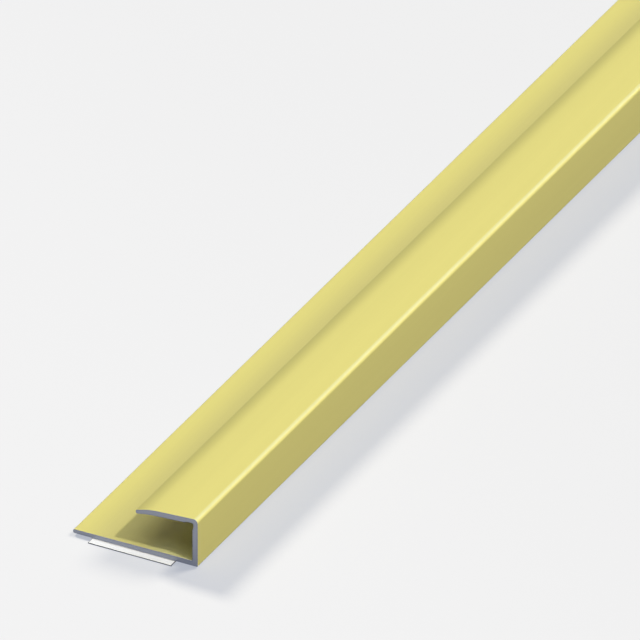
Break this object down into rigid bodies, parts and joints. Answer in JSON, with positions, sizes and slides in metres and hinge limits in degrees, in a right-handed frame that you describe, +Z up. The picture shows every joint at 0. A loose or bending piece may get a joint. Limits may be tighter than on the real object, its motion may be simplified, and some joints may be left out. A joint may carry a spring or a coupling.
{
  "type": "aluminium extrusion profile",
  "caption": "Straight self-adhesive edging profile for floor panels: a flat base with a toe, an upright web, and a sprung cover lip turned down at its free edge.",
  "frame": {"origin": "centre of the whole part's box, on the underside of the release liner", "axes": "+Y along the length, away from the liner's pull tab; +X from the toe of the base to the web; +Z up"},
  "size_m": [0.024, 1.0014, 0.0096],
  "materials": {
    "gold_anodised_aluminium": "satin",
    "adhesive": "satin",
    "liner_paper": "satin"
  },
  "bodies": {
    "root": {"extruded_profile": "gold_anodised_aluminium", "adhesive_strip": "adhesive", "release_liner": "liner_paper"}
  },
  "joints": []
}
